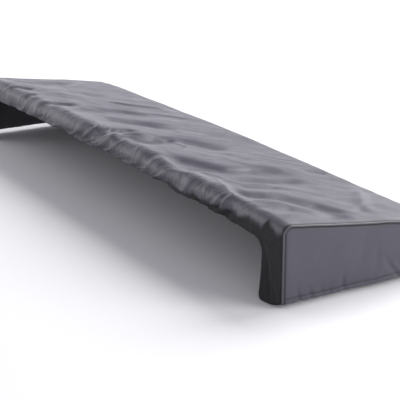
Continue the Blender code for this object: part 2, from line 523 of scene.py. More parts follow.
@dataclass
class ClothPiece:
    """A panel of cloth, laid out flat, then moved into its place and given its thickness."""

    form: CoverForm
    thickness: float = 0.0009

    # How far the painted shade of a seam reaches, and how worn an edge is.
    SEAM_SHADE = 0.0045
    EDGE_WEAR = 0.35

    def surface(self, u: np.ndarray, v: np.ndarray) -> np.ndarray:
        """Outer surface over the flat cut; each panel has its own.

        Args:
            u: First flat coordinate of each place.
            v: Second flat coordinate of each place.

        Returns:
            One row of x, y and z for each place.
        """
        raise NotImplementedError

    def tones(self, u: np.ndarray, v: np.ndarray) -> dict[str, np.ndarray]:
        """Tones that the finish reads; each panel has its own.

        Args:
            u: First flat coordinate of each place.
            v: Second flat coordinate of each place.

        Returns:
            Values from 0 to 1 for each place, by the name of the tone.
        """
        raise NotImplementedError

    def hang(self, name: str, mesh: bmesh.types.BMesh, outer: list, inner: list) -> bpy.types.Object:
        """Moves a flat cut into place and makes it an object.

        Args:
            name: Name of the piece.
            mesh: The flat cut, which is used up.
            outer: Finishes of the outside, by face material number.
            inner: Finishes of the inside, one for each of the outside.

        Returns:
            The piece, with its thickness grown inwards.
        """
        flat = np.array([vert.co for vert in mesh.verts])
        mesh.verts.index_update()
        cut = mesh.loops.layers.uv.new("cut")
        for face in mesh.faces:
            for loop in face.loops:
                loop[cut].uv = loop.vert.co.xy
        for vert, place in zip(mesh.verts, self.surface(flat[:, 0], flat[:, 1])):
            vert.co = place
        data = bpy.data.meshes.new(name)
        mesh.to_mesh(data)
        mesh.free()
        for tone, values in self.tones(flat[:, 0], flat[:, 1]).items():
            layer = data.attributes.new(tone, "FLOAT", "POINT")
            layer.data.foreach_set("value", values.astype(np.float32))
        data.shade_smooth()
        for finish in outer + inner:
            data.materials.append(finish)
        piece = add_object(name, data)
        wall = piece.modifiers.new("cloth thickness", "SOLIDIFY")
        wall.thickness = self.thickness
        wall.offset = -1.0
        wall.material_offset = len(outer)
        return piece

    @property
    def facing(self) -> int:
        """1 where the flat cut's upper side is the outside, or -1."""
        return 1

    def directions(self, line: np.ndarray, reach: float = 0.0006) -> tuple:
        """Places of the surface along a flat line, with the line's run and the way outwards.

        Args:
            line: Rows of flat coordinates.
            reach: Length of the flat steps that find the directions.

        Returns:
            Arrays of the places, the unit runs and the unit outward directions.
        """
        u, v = line.T
        step = np.gradient(line, axis=0)
        step = reach * (step / np.linalg.norm(step, axis=1, keepdims=True)).T
        here = self.surface(u, v)
        along = self.surface(u + step[0], v + step[1]) - here
        aside = self.surface(u - step[1], v + step[0]) - here
        outward = self.facing * np.cross(along, aside)
        unit = [a / np.linalg.norm(a, axis=1, keepdims=True) for a in (along, outward)]
        return here, unit[0], unit[1]


@dataclass
class MainPanel(ClothPiece):
    """Front drop, top, rear lip and both returns, cut as one cloth.

    Its flat coordinates are x, and the way from the front hem over the top to the lip
    edge and on down the returns.
    """

    columns: int = 330
    casing: float = 0.0095
    name: str = "main_panel_cloth"

    # Strip, first and last share of it, and rows: drop hem, drop, front fold, top,
    # gathered top, rear fold, lip. The last three have closer columns.
    STRIP_ROWS = (
        (0, 0.0, 0.148, 5),
        (0, 0.148, 1.0, 10),
        (1, 0.0, 1.0, 5),
        (2, 0.0, 0.86, 60),
        (2, 0.86, 1.0, 12),
        (3, 0.0, 1.0, 11),
        (4, 0.0, 1.0, 7),
    )
    STRIP_LENGTHS = (0.0880, 0.0142, 0.3120, 0.0300, 0.0220)
    CLOSE_FROM = (2, 0.86)
    CLOSE_CUTS = 1
    RETURN_COLUMNS = 42
    RETURN_CORNER_ROWS = 6
    RETURN_ROWS = 15
    RETURN_FOOT_ROWS = 4

    # The folds of the top start past the front fold, and end short of the lip edge,
    # further short at the near end.
    FRONT_CLEAR, FRONT_EASE = 0.002, 0.016
    REAR_CLEAR, REAR_EASE = Ramp(0.018, 0.040, 0.42, 0.08), 0.040
    LIP_FADE = 0.030
    # Wrinkles of the top by their size, and the lean, bend and patches that they share.
    BROAD = Wave(0.0012, 3.3, 0.22, 0.20)
    LONG = Wave(0.0009, 2.2, 0.055, 0.190)
    SHORT = Wave(0.0004, 8.4, 0.027, 0.085)
    FINE = Wave(0.00015, 4.9, 0.016, 0.035)
    LEAN, FINE_LEAN, LEAN_SWAY = 0.60, 0.7, Wave(0.45, 12.4, 0.30)
    LEAN_WAY = 0.26
    BEND = Wave(0.016, 5.5, 0.090, 0.070)
    PATCHES = Wave(0.5, 9.9, 0.13, 0.10)
    WRINKLES_BY_RISE = Ramp(0.4, 1.0, 0.0, 0.05)
    # Seams: what a fold keeps of its height there, the puff beside them, and their tuck.
    SEAM_SHARE = Ramp(0.08, 1.0, 0.0, 0.030)
    PUFF_RUN, PUFF_END, PUFF_FALL = 0.045, 0.26, 0.20
    PUFF_HEIGHT, PUFF_SWAY = 0.00336, Wave(0.00126, 33.3, 0.09)
    TUCK = Ramp(-0.0011, 0.0, 0.0, 0.005)
    WAVE_RUN = 0.060
    # The front drop: its folds reach past the front fold, and its hem is puckered.
    DROP_PAST, DROP_EASE = 0.010, 0.030
    DROP_LEAN = Wave(0.12, 14.2, 0.20)
    DROP_FOLDS = Wave(0.0016, 17.6, 0.060, 0.16)
    PUCKERS, PUCKER_REACH = Wave(0.0005, 19.4, 0.017, 0.020), 0.016
    HEM = Hem(0.012, 0.0108, 0.0006, 0.0012, 0.0007, 0.0012)
    RETURN_HEM = Hem(0.0085, 0.0085, 0.0005, 0.0014, 0.0006, 0.0013)
    RETURN_WAVE = Wave(0.0010, 41.3, 0.030, 0.05)
    # Places along the seams, and how far they stop from the end seams.
    LONG_PLACES, DOWN_PLACES, FOOT_PLACES = 1400, 120, 60
    SEAM_CLEAR = 0.004
    FOOT_SPAN = (0.80, 0.06)

    FOLDS = (
        Crease(((0.518, 0.423), (0.502, 0.408), (0.483, 0.396), (0.467, 0.381)), 0.009, 0.0035),
        Crease(((0.425, 0.440), (0.418, 0.421), (0.416, 0.405)), 0.008, 0.0034),
        Crease(((0.345, 0.455), (0.323, 0.420), (0.309, 0.388), (0.306, 0.350)), 0.014, 0.0059),
        Crease(((0.304, 0.450), (0.284, 0.438), (0.260, 0.430)), 0.007, 0.0021),
        Crease(((0.582, 0.411), (0.605, 0.337), (0.605, 0.268), (0.587, 0.211)), 0.044, 0.0058),
        Crease(((0.458, 0.341), (0.454, 0.271), (0.427, 0.210)), 0.042, 0.0025),
        Crease(((0.269, 0.385), (0.241, 0.348), (0.231, 0.305), (0.235, 0.262), (0.242, 0.235)),
               0.038, 0.0048),
        Crease(((0.172, 0.370), (0.135, 0.335), (0.112, 0.312), (0.088, 0.271), (0.047, 0.254),
                (0.032, 0.231)), 0.028, 0.0063),
        Crease(((0.194, 0.234), (0.182, 0.193), (0.159, 0.156), (0.123, 0.131)), 0.015, 0.0024),
        Crease(((0.052, 0.454), (0.030, 0.421), (0.017, 0.395), (0.016, 0.350)), 0.013, 0.0064),
        Crease(((0.090, 0.457), (0.065, 0.444), (0.055, 0.436)), 0.007, 0.0019),
        Crease(((-0.023, 0.443), (-0.033, 0.414), (-0.055, 0.396), (-0.065, 0.376),
                (-0.065, 0.350), (-0.059, 0.315), (-0.069, 0.288)), 0.020, 0.0070, 0.20),
        Crease(((-0.056, 0.317), (-0.065, 0.277), (-0.083, 0.257), (-0.124, 0.242),
                (-0.155, 0.210)), 0.030, 0.0055),
        Crease(((-0.075, 0.433), (-0.102, 0.427), (-0.136, 0.421)), 0.010, 0.0017),
        Crease(((-0.165, 0.470), (-0.175, 0.445), (-0.181, 0.431), (-0.186, 0.422),
                (-0.196, 0.410)), 0.008, 0.0026),
        Crease(((-0.119, 0.454), (-0.135, 0.439), (-0.148, 0.430)), 0.007, 0.0019),
        Crease(((-0.191, 0.446), (-0.206, 0.415), (-0.231, 0.389), (-0.261, 0.369),
                (-0.289, 0.350), (-0.308, 0.327), (-0.315, 0.295), (-0.309, 0.252),
                (-0.298, 0.207)), 0.034, 0.0063, 0.16),
        Crease(((-0.288, 0.349), (-0.302, 0.319), (-0.305, 0.285), (-0.299, 0.245)),
               0.014, 0.0031, 0.35),
        Crease(((-0.335, 0.464), (-0.345, 0.454), (-0.367, 0.436), (-0.383, 0.427),
                (-0.402, 0.416)), 0.008, 0.0024),
        Crease(((-0.377, 0.387), (-0.372, 0.340), (-0.379, 0.285), (-0.394, 0.230),
                (-0.404, 0.195)), 0.020, 0.0055),
        Crease(((-0.414, 0.385), (-0.426, 0.349), (-0.432, 0.331), (-0.431, 0.280)), 0.013, 0.0041),
        Crease(((-0.423, 0.414), (-0.447, 0.401), (-0.471, 0.388), (-0.488, 0.364),
                (-0.507, 0.333), (-0.539, 0.312), (-0.565, 0.297), (-0.596, 0.288),
                (-0.628, 0.280), (-0.648, 0.268)), 0.021, 0.0058, 0.15),
        Crease(((-0.543, 0.427), (-0.563, 0.410), (-0.578, 0.396), (-0.578, 0.371),
                (-0.589, 0.352)), 0.011, 0.0017),
        Crease(((-0.567, 0.430), (-0.597, 0.426), (-0.619, 0.420)), 0.007, 0.0018),
        Crease(((-0.616, 0.249), (-0.576, 0.214), (-0.551, 0.179)), 0.009, 0.0021),
        Crease(((-0.324, 0.162), (-0.332, 0.126), (-0.349, 0.102)), 0.014, 0.0025),
        Crease(((-0.434, 0.430), (-0.467, 0.429), (-0.498, 0.431), (-0.528, 0.431),
                (-0.570, 0.430)), 0.007, 0.0017),
        Crease(((-0.203, 0.407), (-0.229, 0.377), (-0.259, 0.354), (-0.291, 0.336),
                (-0.310, 0.316)), 0.016, 0.0040),
        Crease(((-0.010, 0.424), (-0.028, 0.394), (-0.047, 0.360), (-0.057, 0.324)),
               0.016, 0.0034, 0.30),
        Crease(((-0.538, 0.308), (-0.563, 0.289), (-0.594, 0.274), (-0.624, 0.266)),
               0.009, 0.0020, 0.30),
        Crease(((-0.227, 0.458), (-0.254, 0.426), (-0.284, 0.399), (-0.317, 0.381)), 0.018, 0.0050),
        Crest(((-0.293, 0.416), (-0.314, 0.400), (-0.333, 0.381), (-0.369, 0.376),
               (-0.393, 0.366), (-0.404, 0.327), (-0.415, 0.269)), 0.008, 0.0021),
        Crest(((-0.484, 0.419), (-0.499, 0.403), (-0.516, 0.377), (-0.541, 0.353),
               (-0.570, 0.330), (-0.596, 0.311), (-0.628, 0.295)), 0.019, 0.0037),
        Crest(((-0.455, 0.109), (-0.510, 0.149), (-0.558, 0.180), (-0.595, 0.196),
               (-0.621, 0.198)), 0.014, 0.0034),
        Crest(((-0.005, 0.441), (-0.027, 0.423), (-0.024, 0.398), (-0.001, 0.363)), 0.030, 0.0053),
        Crest(((0.616, 0.392), (0.582, 0.365), (0.537, 0.343), (0.487, 0.312), (0.428, 0.288),
               (0.375, 0.262)), 0.044, 0.0038),
        Crest(((-0.440, 0.443), (-0.470, 0.432), (-0.500, 0.433), (-0.538, 0.433),
               (-0.592, 0.434)), 0.007, 0.0012),
        Crest(((0.358, 0.263), (0.336, 0.238), (0.311, 0.214), (0.280, 0.165), (0.252, 0.115)),
              0.012, 0.0024),
    )
    GATHERS = (
        Gather(0.0260, 0.0032, 0.046, 11.3),
        Gather(0.0480, 0.0078, 0.064, 23.9),
        Gather(0.0800, 0.0070, 0.095, 5.1),
    )
    # Strength of the gathers, which are calmer at both ends and patchy between them.
    FROM_NEAR, FROM_FAR = Ramp(0.20, 1.25, -0.60, 0.14), Ramp(0.6, 1.0, -0.60, 0.15)
    GATHER_SHARE, GATHER_PATCHES, GATHER_LIMITS = 0.85, Wave(0.35, 61.7, 0.11), (0.25, 1.2)
    # Height of the rear band above the lip edge, at places along x: painted shade on rougher cloth.
    BAND_PLACES = (-0.66, -0.53, -0.32, -0.10, 0.10, 0.66)
    BAND_HEIGHTS = (0.029, 0.023, 0.014, 0.005, 0.003, 0.003)
    BAND_EDGE = 0.013
    BAND_JAGS = (Wave(0.006, 91.0, 0.030), Wave(0.005, 93.0, 0.014))
    BAND_STRENGTH = Ramp(0.58, 1.0, 0.12, 0.28)
    # The painted shade under the roll and the painted highlight on the fold above it, by their rise
    # above the lip edge.
    SHADE_RISE, SHADE_RUN = 0.042, 0.034
    SHADE, SHADE_BY_BAND, RETURN_SHADE_RUN = 0.50, 0.30, 0.010
    WORN_RISE, WORN_WIDTH, FOLD_WEAR = 0.054, 0.018, 1.3
    WEAR_PATCHES = Wave(0.4, 97.0, 0.050, 0.020)
    CRINKLE_REACH, CRINKLE_SWAY = 0.062, Wave(0.020, 95.0, 0.060)
    CRINKLE_STRENGTH, CRINKLE_FADE = Ramp(0.4, 1.0, -0.60, 0.13), 0.02
    HEM_SHADE, HEM_SHADE_RUN = 0.7, 0.0014
    FRONT_WORN, FRONT_WORN_RUN, HEM_WORN_RUN = 0.007, 0.008, 0.002
    RETURN_FOLDS = (
        EndFold(0.030, 0.022, 0.010, 0.090, 0.0026, 0.008),
        EndFold(0.012, 0.026, 0.000, 0.060, 0.0020, 0.007),
        EndFold(0.050, -0.014, 0.020, 0.085, 0.0018, 0.009),
    )

    @property
    def strip_starts(self) -> np.ndarray:
        """Where each strip starts along the way over the cover."""
        return np.concatenate([[0.0], np.cumsum(self.STRIP_LENGTHS)])

    @property
    def lip_way(self) -> float:
        """The way from the front hem to the lip edge."""
        return float(self.strip_starts[-1])

    @property
    def return_span(self) -> float:
        """Width of a return along the lip edge, in whole columns."""
        column = 2 * self.form.panel_end / self.columns / (self.CLOSE_CUTS + 1)
        return self.RETURN_COLUMNS * column

    def row_ways(self) -> list[float]:
        """The way to each row of the cut.

        Returns:
            Ways from the front hem to the lip edge, in order.
        """
        starts = self.strip_starts
        ways = [0.0]
        for strip, low, high, count in self.STRIP_ROWS:
            for row in range(1, count + 1):
                share = low + (high - low) * row / count
                ways.append(starts[strip] + self.STRIP_LENGTHS[strip] * share)
        return ways

    def return_levels(self) -> np.ndarray:
        """Rows of a return, from the lip edge down.

        Returns:
            How far below the lip edge each row lies, as a share of the edge's height.
        """
        form = self.form
        top, foot = form.lip_edge - form.return_corner_height, form.return_foot_radius
        corner = top + form.return_corner_height * np.cos(quarter(self.RETURN_CORNER_ROWS))
        side = np.linspace(top, foot, self.RETURN_ROWS + 1)[1:]
        rounded = foot * (1.0 - np.sin(quarter(self.RETURN_FOOT_ROWS)))
        return 1.0 - np.concatenate([corner, side, rounded]) / form.lip_edge

    def width_at(self, height: np.ndarray) -> np.ndarray:
        """Width of a return, with its rounded corner and foot.

        Args:
            height: Height above the hem.

        Returns:
            Width at each height.
        """
        form = self.form
        corner = (form.lip_edge - height) / form.return_corner_height
        corner = 1.0 - np.clip(corner, 0.0, 1.0)
        foot = 1.0 - np.clip(height / form.return_foot_radius, 0.0, 1.0)
        width = form.return_width + form.return_corner_width * (1 - np.sqrt(1 - corner ** 2))
        return width - form.return_foot_radius * (1 - np.sqrt(1 - foot ** 2))

    def relief(self, x: np.ndarray, way: np.ndarray) -> np.ndarray:
        """Height of the cloth above its plain form.

        Args:
            x: Place along the cover.
            way: The way from the front hem.

        Returns:
            Outward height at each place.
        """
        room = self.form.panel_end - np.abs(x)
        rise = self.lip_way - way
        below = ease(1.0 + rise / self.LIP_FADE)
        on_top = ease((way - self.strip_starts[1] - self.FRONT_CLEAR) / self.FRONT_EASE)
        on_top_only = on_top * ease((rise - self.REAR_CLEAR.at(-x)) / self.REAR_EASE)
        height = sum(fold.relief(x, way) for fold in self.FOLDS) * on_top_only
        height += self.wrinkles(x, way) * on_top * self.WRINKLES_BY_RISE.at(rise) * below
        height += self.gathers(x, np.clip(rise, 0.0, None)) * below
        height += self.drop_folds(x, way)
        height *= self.SEAM_SHARE.at(room)
        height += self.seam_puff(room, way) * on_top_only
        return height + self.HEM.relief(way) + self.TUCK.at(room)

    def gathers(self, x: np.ndarray, rise: np.ndarray) -> np.ndarray:
        """Gathers of the rear edge, calmer at the ends and patchy between them.

        Args:
            x: Place along the cover.
            rise: Rise above the lip edge, along the cloth.

        Returns:
            Outward height at each place.
        """
        ends = self.FROM_NEAR.at(x) * self.FROM_FAR.at(-x)
        patches = np.clip(self.GATHER_SHARE + self.GATHER_PATCHES.at(x), *self.GATHER_LIMITS)
        return sum(gather.relief(x, rise) for gather in self.GATHERS) * ends * patches

    def seam_puff(self, room: np.ndarray, way: np.ndarray) -> np.ndarray:
        """How far the cloth puffs up beside an end seam, by its distance from the seam."""
        puff = ease(room / self.PUFF_RUN) * ease((self.PUFF_END - room) / self.PUFF_FALL)
        return puff * (self.PUFF_HEIGHT + self.PUFF_SWAY.at(way))

    def wrinkles(self, x: np.ndarray, way: np.ndarray) -> np.ndarray:
        """Small wrinkles of the top, which run across it and lean towards the near end.

        Args:
            x: Place along the cover.
            way: The way from the front hem.

        Returns:
            Outward height at each place.
        """
        lean = self.LEAN + self.LEAN_SWAY.at(x)
        across = x - lean * (way - self.LEAN_WAY) + self.BEND.at(x, way)
        patches = 0.5 + self.PATCHES.at(x, way)
        height = self.BROAD.at(x, way) + self.LONG.at(across, way) * (1.3 - patches)
        height += self.SHORT.sharp_at(across, way) * patches
        return height + self.FINE.sharp_at(x - self.FINE_LEAN * way, way) * (1.0 - patches)

    def drop_folds(self, x: np.ndarray, way: np.ndarray) -> np.ndarray:
        """Soft upright folds of the front drop, fading into the fold above.

        Args:
            x: Place along the cover.
            way: The way from the front hem.

        Returns:
            Outward height at each place.
        """
        drop = self.STRIP_LENGTHS[0]
        inside = ease((drop + self.DROP_PAST - way) / self.DROP_EASE)
        folds = self.DROP_FOLDS.at(x + (way - drop) * self.DROP_LEAN.at(x), way)
        close = ease(1.0 - np.abs(way - self.HEM.width) / self.PUCKER_REACH)
        return (folds + self.PUCKERS.at(x, way) * close) * inside

    def surface(self, u: np.ndarray, v: np.ndarray) -> np.ndarray:
        """Outer surface over the flat cut.

        Args:
            u: First flat coordinate of each place.
            v: Second flat coordinate of each place.

        Returns:
            One row of x, y and z for each place.
        """
        form = self.form
        starts = self.strip_starts
        strip = np.clip(np.searchsorted(starts, v, side="right") - 1, 0, Section.STRIPS - 1)
        lengths = np.array(self.STRIP_LENGTHS)
        share = np.clip((v - starts[strip]) / lengths[strip], 0.0, 1.0)
        y, height, out_y, out_height = Section(form).points(u, strip, share)
        down = np.clip((v - self.lip_way) / form.lip_edge, 0.0, 1.0)
        across = (form.panel_end - np.abs(u)) / self.return_span
        hanging = down > 0
        level = form.lip_edge * (1.0 - down)
        sag = form.return_droop * np.sin(math.pi / 2 * np.minimum(across / form.droop_from_end, 1.0))
        arch = form.arched(u, form.lip_crown) * (1.0 - down) ** 2
        x = np.where(hanging, np.sign(u) * (form.panel_end - self.width_at(level) * across), u)
        y = np.where(hanging, form.half_depth + form.return_swing * across * down ** 2, y)
        height = np.where(hanging, level - sag * down + arch, height)
        height += form.seam_wave(y) * ease(1.0 - (form.panel_end - np.abs(u)) / self.WAVE_RUN)
        relief = self.relief(u, v)
        relief += np.where(hanging, self.return_relief(x, level, across), 0.0)
        return np.stack([
            x,
            y + out_y * relief,
            height - form.bearing_height + out_height * relief,
        ], axis=1)

    def return_relief(self, x: np.ndarray, level: np.ndarray, across: np.ndarray) -> np.ndarray:
        """Creases and hem of a return.

        Args:
            x: Place along the cover.
            level: Height above the hem.
            across: Share of the width, from the end seam.

        Returns:
            Outward height at each place.
        """
        inwards = self.form.panel_end - np.abs(x)
        folds = sum(fold.relief(inwards, level) for fold in self.RETURN_FOLDS)
        soft = self.RETURN_WAVE.at(x + 0.5 * level, level)
        edge = np.minimum(self.width_at(level) * (1.0 - across), level)
        inside = ease(across / 0.2) * ease(edge / 0.02)
        return (folds + soft) * inside + self.RETURN_HEM.relief(edge)

    def tones(self, u: np.ndarray, v: np.ndarray) -> dict[str, np.ndarray]:
        """Painted shade at the rear and along the seams, worn edges with a painted highlight on the
        rear fold, and where the cloth is gathered.

        Args:
            u: First flat coordinate of each place.
            v: Second flat coordinate of each place.

        Returns:
            Values from 0 to 1 for each place, by the name of the tone.
        """
        rise = self.lip_way - v
        # Painted shade along the end seams and along the hem stitching.
        end_seam = bell((self.form.panel_end - np.abs(u)) / self.SEAM_SHADE)
        hem_seam = self.HEM_SHADE * bell((v - self.HEM.seam) / self.HEM_SHADE_RUN)
        reach = self.CRINKLE_REACH + self.CRINKLE_SWAY.at(u)
        gathered = ease(1.3 - rise / reach) * self.CRINKLE_STRENGTH.at(u)
        # Tones: painted shade at the rear, painted shade along the seams, real wear with a painted
        # highlight on the rear fold, and the gathers.
        return {
            "rear_band": self.rear_tone(u, rise),
            "seam": np.maximum(end_seam, hem_seam),
            "wear": self.wear(u, v),
            "gathered": gathered * ease(1.0 + rise / self.CRINKLE_FADE),
        }

    def rear_tone(self, u: np.ndarray, rise: np.ndarray) -> np.ndarray:
        """How far the cloth carries painted shade: along the lip edge, under the roll and on the
        returns.

        Args:
            u: Place along the cover.
            rise: Rise above the lip edge, along the cloth.

        Returns:
            A value from 0 to 1 for each place.
        """
        # Painted shade: a dark band along the lip edge, shade under the roll, and the returns dark
        # all over.
        height = np.interp(u, self.BAND_PLACES, self.BAND_HEIGHTS)
        height += sum(jag.at(u) for jag in self.BAND_JAGS)
        strength = self.BAND_STRENGTH.at(-u)
        band = ease((height - rise) / self.BAND_EDGE + 0.5) * strength
        shade = ease((self.SHADE_RISE - rise) / self.SHADE_RUN)
        shade *= self.SHADE - self.SHADE_BY_BAND * strength
        return np.maximum(np.maximum(band, shade), ease(-rise / self.RETURN_SHADE_RUN))

    def wear(self, u: np.ndarray, v: np.ndarray) -> np.ndarray:
        """Where the cloth is lighter: worn along its front and its hem, with a painted highlight
        along its rear fold.

        Args:
            u: First flat coordinate of each place.
            v: Second flat coordinate of each place.

        Returns:
            A value from 0 to 1 for each place.
        """
        rise = self.lip_way - v
        edges = bell((v - self.strip_starts[1] - self.FRONT_WORN) / self.FRONT_WORN_RUN)
        edges += bell(v / self.HEM_WORN_RUN)
        # Painted highlight along the crest of the rear fold; the front and hem edges above are real
        # wear.
        rear_fold = self.FOLD_WEAR * bell((rise - self.WORN_RISE) / self.WORN_WIDTH)
        rear_fold *= 1.0 + self.WEAR_PATCHES.at(u, rise)
        return np.clip(self.EDGE_WEAR * edges + rear_fold, 0.0, 1.0)

    def flat_cut(self) -> bmesh.types.BMesh:
        """The cloth laid flat, with close columns where it is gathered.

        Returns:
            The cut, with x and way as the coordinates of its vertices.
        """
        form = self.form
        ways = self.row_ways()
        mesh = bmesh.new()
        bmesh.ops.create_grid(mesh, x_segments=self.columns, y_segments=len(ways) - 1, size=1.0)
        for vert in mesh.verts:
            row = round((vert.co.y + 1.0) / 2.0 * (len(ways) - 1))
            vert.co = (vert.co.x * form.panel_end, ways[row], 0.0)
        strip, share = self.CLOSE_FROM
        close = self.strip_starts[strip] + self.STRIP_LENGTHS[strip] * share - HAIR
        lengthwise = [
            edge for edge in mesh.edges
            if edge.verts[0].co.y > close and abs(edge.verts[0].co.y - edge.verts[1].co.y) < HAIR
        ]
        bmesh.ops.subdivide_edges(mesh, edges=lengthwise, cuts=self.CLOSE_CUTS)
        for end in End:
            self.add_return(mesh, end)
        return mesh

    def add_return(self, mesh: bmesh.types.BMesh, end: End) -> None:
        """Extrudes a return from the lip edge, row by row.

        Args:
            mesh: The flat cut.
            end: The end of the cover that it belongs to.
        """
        inner = self.form.panel_end - self.return_span - HAIR
        lip_way = self.lip_way
        edges = [
            edge for edge in mesh.edges
            if all(vert.co.y > lip_way - HAIR and vert.co.x * end.value > inner
                   for vert in edge.verts)
        ]
        for level in self.return_levels():
            made = bmesh.ops.extrude_edge_only(mesh, edges=edges)["geom"]
            verts = {item for item in made if isinstance(item, bmesh.types.BMVert)}
            for vert in verts:
                vert.co.y = lip_way + level * self.form.lip_edge
            edges = [
                item for item in made
                if isinstance(item, bmesh.types.BMEdge) and verts.issuperset(item.verts)
            ]

    def seams(self) -> dict[str, np.ndarray]:
        """Flat lines of the panel's stitching.

        Returns:
            Rows of flat coordinates, by the name of the seam.
        """
        form = self.form
        ends = form.panel_end - self.SEAM_CLEAR
        along = np.linspace(-ends, ends, self.LONG_PLACES)
        lines = {
            "front_hem": np.stack([along, 0 * along + self.HEM.seam], axis=1),
            "lip_casing": np.stack([along, 0 * along + self.lip_way - self.casing], axis=1),
        }
        inset = self.RETURN_HEM.seam
        levels = np.linspace(form.lip_edge - self.SEAM_CLEAR, inset, self.DOWN_PLACES)
        foot = np.linspace(*self.FOOT_SPAN, self.FOOT_PLACES)
        across = np.concatenate([1.0 - inset / self.width_at(levels), foot])
        levels = np.concatenate([levels, np.full(self.FOOT_PLACES, inset)])
        for end in End:
            u = end.value * (form.panel_end - self.return_span * across)
            line = np.stack([u, self.lip_way + form.lip_edge - levels], axis=1)
            lines[f"return_{end.hand}"] = line
        return lines

    def build(self, outer: bpy.types.Material, inner: bpy.types.Material) -> bpy.types.Object:
        """Makes the panel in place of its solid.

        Args:
            outer: Finish of the outside.
            inner: Finish of the inside.

        Returns:
            The hung panel.
        """
        mesh = self.flat_cut()
        bmesh.ops.reverse_faces(mesh, faces=[face for face in mesh.faces if face.normal.z < 0])
        piece = self.hang(self.name, mesh, [outer], [inner])
        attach(piece, BODY)
        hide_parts("main_panel")
        return piece


@dataclass
class EndPanel(ClothPiece):
    """One end of the cover, inside its piping. Its flat coordinates are y and height."""

    end: End = End.LEFT
    columns: int = 132
    rows: int = 46

    FOLDS = (
        EndFold(0.132, 0.004, 0.000, 0.030, 0.0020, 0.006),
        EndFold(0.107, 0.003, 0.000, 0.024, 0.0020, 0.006),
        EndFold(0.086, -0.004, 0.000, 0.022, 0.0017, 0.006),
        EndFold(0.070, -0.003, 0.000, 0.030, 0.0016, 0.007),
        EndFold(0.038, 0.004, 0.004, 0.034, 0.0026, 0.006),
        EndFold(0.000, -0.009, 0.060, 0.112, 0.0007, 0.010),
        EndFold(-0.031, 0.000, 0.040, 0.100, 0.0008, 0.010),
        EndFold(-0.079, 0.040, 0.004, 0.055, 0.0022, 0.010),
        EndFold(-0.098, 0.030, 0.000, 0.050, 0.0016, 0.010),
        EndFold(-0.128, 0.006, 0.000, 0.060, 0.0014, 0.012),
    )
    # Places of the top edge on each strip of the section.
    EDGE_STEPS = {1: 12, 2: 100, 3: 16}
    HEM = Hem(0.009, 0.0080, 0.0005, 0.0014, 0.0007, 0.0016)
    TUCK = Ramp(-0.0017, 0.0, 0.0, 0.005)
    HEM_SHADE, HEM_WORN_RUN = 0.8, 0.0025
    # Unevenness of the whole panel, of its hem and beside its seam.
    SOFT = Wave(0.0012, 51.7, 0.060, 0.090)
    SMALL = Wave(0.0003, 53.1, 0.018, 0.030)
    PUCKERS, PUCKER_REACH = Wave(0.0005, 57.9, 0.014, 0.020), 0.014
    PULLS, PULL_REACH = Wave(0.0004, 59.2, 0.011, 0.011), 0.016
    SEAM_EASE = 0.030
    SEAM_SPAN, SEAM_PLACES = (0.06, 0.94), 500

    @property
    def name(self) -> str:
        """Name of the piece."""
        return f"end_panel_{self.end.hand}_cloth"

    @property
    def facing(self) -> int:
        """1 where the flat cut's upper side is the outside, or -1."""
        return self.end.value

    def seam(self) -> np.ndarray:
        """Flat line of the hem's stitching, as rows of flat coordinates."""
        u = np.linspace(*self.SEAM_SPAN, self.SEAM_PLACES)
        return np.stack([u, self.HEM.seam / self.top_edge(u)[:, 1]], axis=1)

    def outline(self) -> np.ndarray:
        """Top edge of the panel inside the piping, as rows of y and height."""
        section = Section(self.form, self.form.cord - self.form.tuck)
        return np.stack(section.walk(self.EDGE_STEPS)[:2], axis=1)

    def top_edge(self, u: np.ndarray) -> np.ndarray:
        """Places on the top edge, by the share of it passed.

        Args:
            u: Share of the edge, from the front.

        Returns:
            Rows of y and height.
        """
        edge = self.outline()
        ways = ways_along(edge)
        return placed_at(u * ways[-1], ways, edge)

    def spread(self, u: np.ndarray, v: np.ndarray) -> tuple:
        """Spreads flat places over the end.

        Args:
            u: Share of the top edge passed.
            v: Share of the height.

        Returns:
            Arrays of the place across, the height and the distance to the piping.
        """
        y, top = self.top_edge(u).T
        top = top + self.form.seam_wave(y)
        height = top * v
        (front, _), *_, (rear, _) = self.outline()
        room = np.minimum(np.minimum(y - front, rear - y), top - height)
        return y, height, room

    def surface(self, u: np.ndarray, v: np.ndarray) -> np.ndarray:
        """Outer surface over the flat cut.

        Args:
            u: Share of the top edge passed.
            v: Share of the height.

        Returns:
            One row of x, y and z for each place.
        """
        y, height, room = self.spread(u, v)
        relief = self.relief(-y if self.end is End.RIGHT else y, height, room)
        out = self.form.half_length - self.form.cord / 4 + relief
        return np.stack([self.end.value * out, y, height - self.form.bearing_height], axis=1)

    def relief(self, y: np.ndarray, height: np.ndarray, room: np.ndarray) -> np.ndarray:
        """Height of the cloth above its plain form.

        Args:
            y: Place across the panel.
            height: Height above the hem.
            room: Distance to the piping.

        Returns:
            Outward height at each place.
        """
        folds = sum(fold.relief(y, height) for fold in self.FOLDS)
        soft = self.SOFT.at(y + 0.3 * height, height) + self.SMALL.at(y + 0.5 * height, height)
        low = ease(1.0 - np.abs(height - self.HEM.width) / self.PUCKER_REACH)
        beside = ease(1.0 - room / self.PULL_REACH)
        body = (folds + soft) * ease(room / self.SEAM_EASE)
        body += self.PUCKERS.at(y, height) * low + self.PULLS.at(y, height) * beside
        return body + self.HEM.relief(height) + self.TUCK.at(room)

    def tones(self, u: np.ndarray, v: np.ndarray) -> dict[str, np.ndarray]:
        """Painted shade along the seams and a worn hem edge; the panel has no painted rear shade and
        no gathers.

        Args:
            u: Share of the top edge passed.
            v: Share of the height.

        Returns:
            Values from 0 to 1 for each place, by the name of the tone.
        """
        _, height, room = self.spread(u, v)
        # Painted shade along the piping seam and along the hem stitching.
        hem_seam = self.HEM_SHADE * bell((height - self.HEM.seam) / self.HEM.groove)
        seam = np.maximum(bell(room / self.SEAM_SHADE), hem_seam)
        worn = self.EDGE_WEAR * bell(height / self.HEM_WORN_RUN)
        return {"rear_band": 0 * u, "seam": seam, "wear": worn, "gathered": 0 * u}

